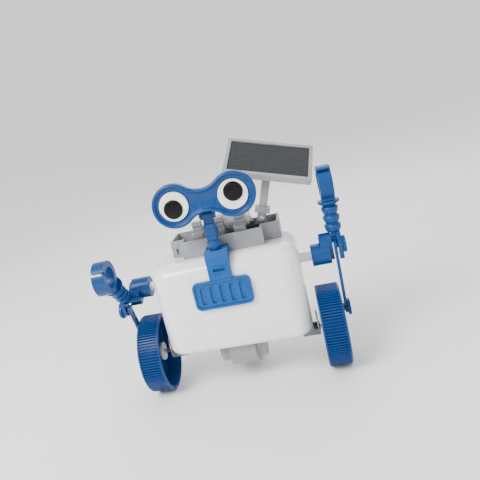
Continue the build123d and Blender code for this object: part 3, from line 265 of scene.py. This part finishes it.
# ---- look and edge softening of each CAD node that is shown: (look, edge radius in mm) ----
NODE_LOOKS = {
    "front_shell": ("shell", 0.35), "rear_shell": ("shell", 0.35), "battery_door": ("shell", 0.25),
    "case_screws": ("steel", 0.12), "battery_box": ("grey", 0.2), "battery_cell": ("battery", 0.3),
    "battery_contacts": ("steel", 0.0), "chassis_base": ("dark grey", 0.35), "axle_bushes": ("black", 0.2),
    "bush_clips": ("steel", 0.0), "gear_housing": ("grey", 0.6), "gear_plates": ("grey", 0.2),
    "gear_pins": ("steel", 0.1), "motor_can": ("can", 0.5), "motor_end_cap": ("nylon", 0.4),
    "deck_tray": ("grey", 0.4), "motor_cradle": ("grey", 0.4), "switch_body": ("black", 0.25),
    "switch_knob": ("black", 0.25), "shoulder_pins": ("pin white", 0.4), "chest_grille": ("chest blue", 0.35),
    "chest_strap": ("chest blue", 0.7), "mast_socket": ("grey", 0.35), "mast_pin": ("steel", 0.2),
    "caster_bracket": ("grey", 0.5), "caster_pin": ("steel", 0.2), "motor_shaft": ("steel", 0.1),
    "motor_pinion": ("brass", 0.08), "compound_gear": ("nylon", 0.1), "upper_idler": ("nylon", 0.1),
    "lower_idler": ("nylon", 0.1), "axle": ("steel", 0.15), "axle_gear": ("nylon", 0.1),
    "wheel_hubs": ("hub", 0.3), "wheel_screws": ("steel", 0.25), "shoulder_left": ("blue", 0.5),
    "shoulder_right": ("blue", 0.5), "forearm_left": ("blue", 0.35), "forearm_right": ("blue", 0.35),
    "claw_left": ("blue", 1.0), "claw_right": ("blue", 1.0), "connecting_rod_left": ("blue", 0.45),
    "connecting_rod_right": ("blue", 0.45), "rod_rivets_left": ("blue", 0.7),
    "rod_rivets_right": ("blue", 0.7), "neck": ("head blue", 0.5), "head_back": ("head blue", 0.6),
    "head_pin": ("steel", 0.15), "eye_left": ("eye white", 0.3), "eye_right": ("eye white", 0.3),
    "pupil_left": ("pupil", 0.2), "pupil_right": ("pupil", 0.2),
    "solar_mast": ("grey", 0.35), "panel_frame": ("panel grey", 0.4), "solar_cell": ("cell", 0.3),
    "panel_pin": ("steel", 0.15), "caster_roller": ("rubber", 0.4),
}
SHARP = radians(35)


def soften(obj, radius):
    """Rounds a moulded part's edges and shades its curved faces smoothly."""
    mesh = obj.data
    if "custom_normal" in mesh.attributes:
        mesh.attributes.remove(mesh.attributes["custom_normal"])
    mesh.shade_smooth()
    weld = obj.modifiers.new("weld", "WELD")
    weld.merge_threshold = 0.002 * MM
    if radius:
        bevel = obj.modifiers.new("edges", "BEVEL")
        bevel.width = radius * MM
        bevel.segments = 3
        bevel.limit_method = "ANGLE"
        bevel.angle_limit = SHARP
        bevel.harden_normals = True


for node, (look, radius) in NODE_LOOKS.items():
    part = NODES[node]
    part.data.materials.clear()
    part.data.materials.append(LOOKS[look])
    soften(part, radius)


# ---- pieces built finer than their CAD nodes ----
def new_piece(name, bm, look, body, *stands_for):
    """A shown mesh object that rides a body in place of its CAD nodes."""
    bmesh.ops.recalc_face_normals(bm, faces=bm.faces)
    mesh = bpy.data.meshes.new(name)
    bm.to_mesh(mesh)
    bm.free()
    mesh.shade_smooth()
    mesh.set_sharp_from_angle(angle=SHARP)
    mesh.materials.append(LOOKS[look])
    piece = bpy.data.objects.new(name, mesh)
    bpy.context.scene.collection.objects.link(piece)
    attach(piece, body)
    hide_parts(*stands_for)
    return piece


def skin(bm, rings, closed=True):
    """Faces between rings of vertices; closed joins the last ring to the first."""
    count = len(rings[0])
    pairs = list(zip(rings, rings[1:] + rings[:1])) if closed else list(zip(rings, rings[1:]))
    for ring, following in pairs:
        for i in range(count):
            j = (i + 1) % count
            bm.faces.new((ring[i], ring[j], following[j], following[i]))


def lathe_about_axle(bm, profile, steps, ripple):
    """Turns a closed (x, radius) profile in mm about the axle.

    ripple(x, radius, step) gives the real radius.
    """
    rings = []
    for x, radius in profile:
        ring = []
        for step in range(steps):
            angle = 2 * pi * step / steps
            real = ripple(x, radius, step) * MM
            ring.append(bm.verts.new((x * MM, AXLE_Y + real * cos(angle), AXLE_Z + real * sin(angle))))
        rings.append(ring)
    skin(bm, rings)


def cylinder_along_x(bm, x_from, x_to, place, radius, soft=0.4, steps=48):
    """A closed round boss with a softened outer edge; sizes in mm, place is (y, z) in metres."""
    way = 1 if x_to > x_from else -1
    rings = []
    profile = (
        (x_from, radius), (x_to - way * soft, radius), (x_to - way * soft * 0.3, radius - soft * 0.3),
        (x_to, radius - soft),
    )
    for x, r in profile:
        rings.append([bm.verts.new((x * MM, place[0] + r * MM * cos(2 * pi * i / steps),
                                    place[1] + r * MM * sin(2 * pi * i / steps))) for i in range(steps)])
    skin(bm, rings, closed=False)
    bm.faces.new(rings[0])
    bm.faces.new(list(reversed(rings[-1])))


RIBS = 90
RIB_STEPS = 4
RIB_DEPTH = 1.45
WHEEL_PROFILE = [
    (59.3, 27.9), (59.3, 29.5), (59.55, 29.9), (59.9, 30.0), (60.3, 30.0), (60.5, 29.99), (74.7, 29.99),
    (74.9, 30.0), (75.4, 29.95), (75.9, 29.7), (76.2, 29.25), (76.3, 28.7), (76.3, 27.3), (76.1, 26.8),
    (75.5, 26.4), (75.3, 26.2), (75.3, 24.0), (75.3, 8.0), (75.45, 7.3), (75.85, 7.0), (75.9, 6.6),
    (75.9, 4.05),
    (72.8, 4.05), (72.8, 10.2), (72.8, 26.2), (72.5, 27.2), (71.8, 27.7), (60.0, 27.8),
]


def tread(x, radius, step):
    """The ribs run across the tread, between a smooth band at each edge."""
    in_tread = 60.45 < x < 74.75 and radius > 29
    return radius - RIB_DEPTH if in_tread and step % RIB_STEPS >= RIB_STEPS // 2 else radius


CRANK_R = 11.6
CRANK_PIN_R = 3.2
# each wheel's side and the angle of its crank pin, in degrees
CRANKS = {"left": (-1, -19.6), "right": (1, 90.0)}
for side_name, (side, crank_angle) in CRANKS.items():
    bm = bmesh.new()
    lathe_about_axle(bm, [(side * x, radius) for x, radius in WHEEL_PROFILE], RIBS * RIB_STEPS,
                     lambda x, radius, step: tread(abs(x), radius, step))
    turn = radians(crank_angle)
    crank = (AXLE_Y + CRANK_R * MM * cos(turn), AXLE_Z + CRANK_R * MM * sin(turn))
    cylinder_along_x(bm, side * 74.8, side * 77.9, crank, CRANK_PIN_R)
    new_piece(f"ribbed_wheel_{side_name}", bm, "wheel blue", "drive", f"wheel_{side_name}")


EYE_X = 20.1
EYE_R = 10.0
LOBE_R = 15.2
WAIST = 8.0


def dumbbell(inset, lobe_steps=56, waist_steps=20):
    """Points of the head's outline in mm: two lobes and the hollow arcs between them."""
    lobe_r, waist = LOBE_R - inset, WAIST - inset
    join_x, join_z = EYE_X - lobe_r * cos(radians(50)), lobe_r * sin(radians(50))
    arc_z = (join_x**2 + join_z**2 - waist**2) / (2 * (join_z - waist))
    arc_r = arc_z - waist
    half = atan2(join_x, arc_z - join_z)
    points = []
    for i in range(lobe_steps):
        angle = radians(130 - 260 * i / (lobe_steps - 1))
        points.append((EYE_X + lobe_r * cos(angle), lobe_r * sin(angle)))
    for i in range(1, waist_steps):
        angle = half - 2 * half * i / waist_steps
        points.append((arc_r * sin(angle), -arc_z + arc_r * cos(angle)))
    for i in range(lobe_steps):
        angle = radians(-50 - 260 * i / (lobe_steps - 1))
        points.append((-EYE_X + lobe_r * cos(angle), lobe_r * sin(angle)))
    for i in range(1, waist_steps):
        angle = -half + 2 * half * i / waist_steps
        points.append((arc_r * sin(angle), arc_z - arc_r * cos(angle)))
    return points


def head_ring(bm, points, y):
    return [bm.verts.new((x * MM, y, HEAD_Z + z * MM)) for x, z in points]


def loop_edges(bm, ring):
    return [bm.edges.get((ring[i], ring[(i + 1) % len(ring)])) for i in range(len(ring))]


HEAD_LOW, HEAD_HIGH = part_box("head_frame")
HEAD_Z = (HEAD_LOW.z + HEAD_HIGH.z) / 2
BEAD = [(0.0, 5.0), (0.0, 1.5), (0.15, 0.9), (0.5, 0.35), (1.0, 0.06), (1.4, 0.0), (1.8, 0.06), (2.25, 0.35),
        (2.55, 0.9), (2.7, 1.5), (3.0, 1.7)]
bm = bmesh.new()
rings = [head_ring(bm, dumbbell(inset), HEAD_LOW.y + depth * MM) for inset, depth in BEAD]
skin(bm, rings, closed=False)
eye_circle = [(EYE_R * cos(2 * pi * i / 64), EYE_R * sin(2 * pi * i / 64)) for i in range(64)]
soft_circle = [(x * 1.05, z * 1.05) for x, z in eye_circle]
fronts, backs = [], []
for side in (-1, 1):
    lips = [head_ring(bm, [(side * EYE_X + x, z) for x, z in ring], HEAD_LOW.y + depth * MM)
            for ring, depth in ((soft_circle, 1.7), (eye_circle, 2.1), (eye_circle, 5.0))]
    skin(bm, lips, closed=False)
    fronts += loop_edges(bm, lips[0])
    backs += loop_edges(bm, lips[-1])
bmesh.ops.triangle_fill(bm, use_beauty=True, edges=fronts + loop_edges(bm, rings[-1]))
bmesh.ops.triangle_fill(bm, use_beauty=True, edges=backs + loop_edges(bm, rings[0]))
new_piece("head_bead_frame", bm, "head blue", "head", "head_frame")


# ---- camera, light and floor ----
def add_camera():
    """The photographed view: a slightly raised three-quarter look with the camera rolled."""
    azimuth, elevation, roll = radians(11.58), radians(13.68), radians(-14.12)
    back = Vector((sin(azimuth) * cos(elevation), -cos(azimuth) * cos(elevation), sin(elevation)))
    target = Vector((-13.5 * MM, AXLE_Y, 106.7 * MM))
    right = (-back).cross(Vector((0, 0, 1))).normalized()
    up = right.cross(-back)
    across = right * cos(roll) + up * sin(roll)
    upward = up * cos(roll) - right * sin(roll)
    data = bpy.data.cameras.new("camera")
    data.sensor_width = 36
    data.lens = 37.5
    data.shift_x, data.shift_y = 0.0767, 0.0147
    data.clip_start, data.clip_end = 0.01, 20
    camera = bpy.data.objects.new("camera", data)
    rotation = Matrix((across, upward, back)).transposed().to_4x4()
    camera.matrix_world = Matrix.Translation(target + back * 0.368) @ rotation
    bpy.context.scene.collection.objects.link(camera)
    bpy.context.scene.camera = camera


def area_light(name, place, aim, size, power, tint=(1, 1, 1)):
    data = bpy.data.lights.new(name, "AREA")
    data.shape = "RECTANGLE"
    data.size, data.size_y = size
    data.energy = power
    data.color = tint
    light = bpy.data.objects.new(name, data)
    light.location = place
    light.rotation_mode = "QUATERNION"
    light.rotation_quaternion = (Vector(place) - Vector(aim)).to_track_quat("Z", "Y")
    bpy.context.scene.collection.objects.link(light)


def add_floor():
    """A pale floor that curves up into a backdrop all round, so that no horizon shows."""
    bm = bmesh.new()
    sides = 96
    sweep = 0.9
    profile = [(0.02, 0), (0.4, 0), (sweep, 0)]
    profile += [(sweep + sweep * sin(radians(a)), sweep - sweep * cos(radians(a))) for a in range(6, 91, 6)]
    profile += [(1.8, 1.8)]
    turns = [2 * pi * i / sides for i in range(sides)]
    rings = [[bm.verts.new((r * cos(turn), r * sin(turn), z)) for turn in turns] for r, z in profile]
    skin(bm, rings, closed=False)
    bm.faces.new(rings[0])
    bmesh.ops.recalc_face_normals(bm, faces=bm.faces)
    mesh = bpy.data.meshes.new("floor")
    bm.to_mesh(mesh)
    bm.free()
    mesh.shade_smooth()
    floor = bpy.data.objects.new("floor", mesh)
    floor.location.z = CAD_LOW.z - 0.05 * MM
    made = Nodes("pale floor", (0.94, 0.94, 0.935), 0.6)
    made.colour(made.mix(made.spread(made.noise(0.05), 0, 1), (0.93, 0.93, 0.925), (0.95, 0.95, 0.945)))
    mesh.materials.append(made.material)
    bpy.context.scene.collection.objects.link(floor)


def add_light():
    world = bpy.data.worlds.new("studio")
    bpy.context.scene.world = world
    world.use_nodes = True
    world.node_tree.nodes["Background"].inputs[0].default_value = (0.95, 0.96, 1.0, 1)
    world.node_tree.nodes["Background"].inputs[1].default_value = 0.95
    aim = (0, 0, 0.09)
    area_light("key", (-0.45, -0.55, 0.75), aim, (0.45, 0.45), 14.5, (1.0, 0.985, 0.96))
    area_light("fill", (0.75, -0.45, 0.35), aim, (0.30, 0.8), 0.5, (0.95, 0.97, 1.0))
    area_light("back", (0.1, 0.8, 0.7), aim, (0.9, 0.4), 5)


add_camera()
add_light()
add_floor()
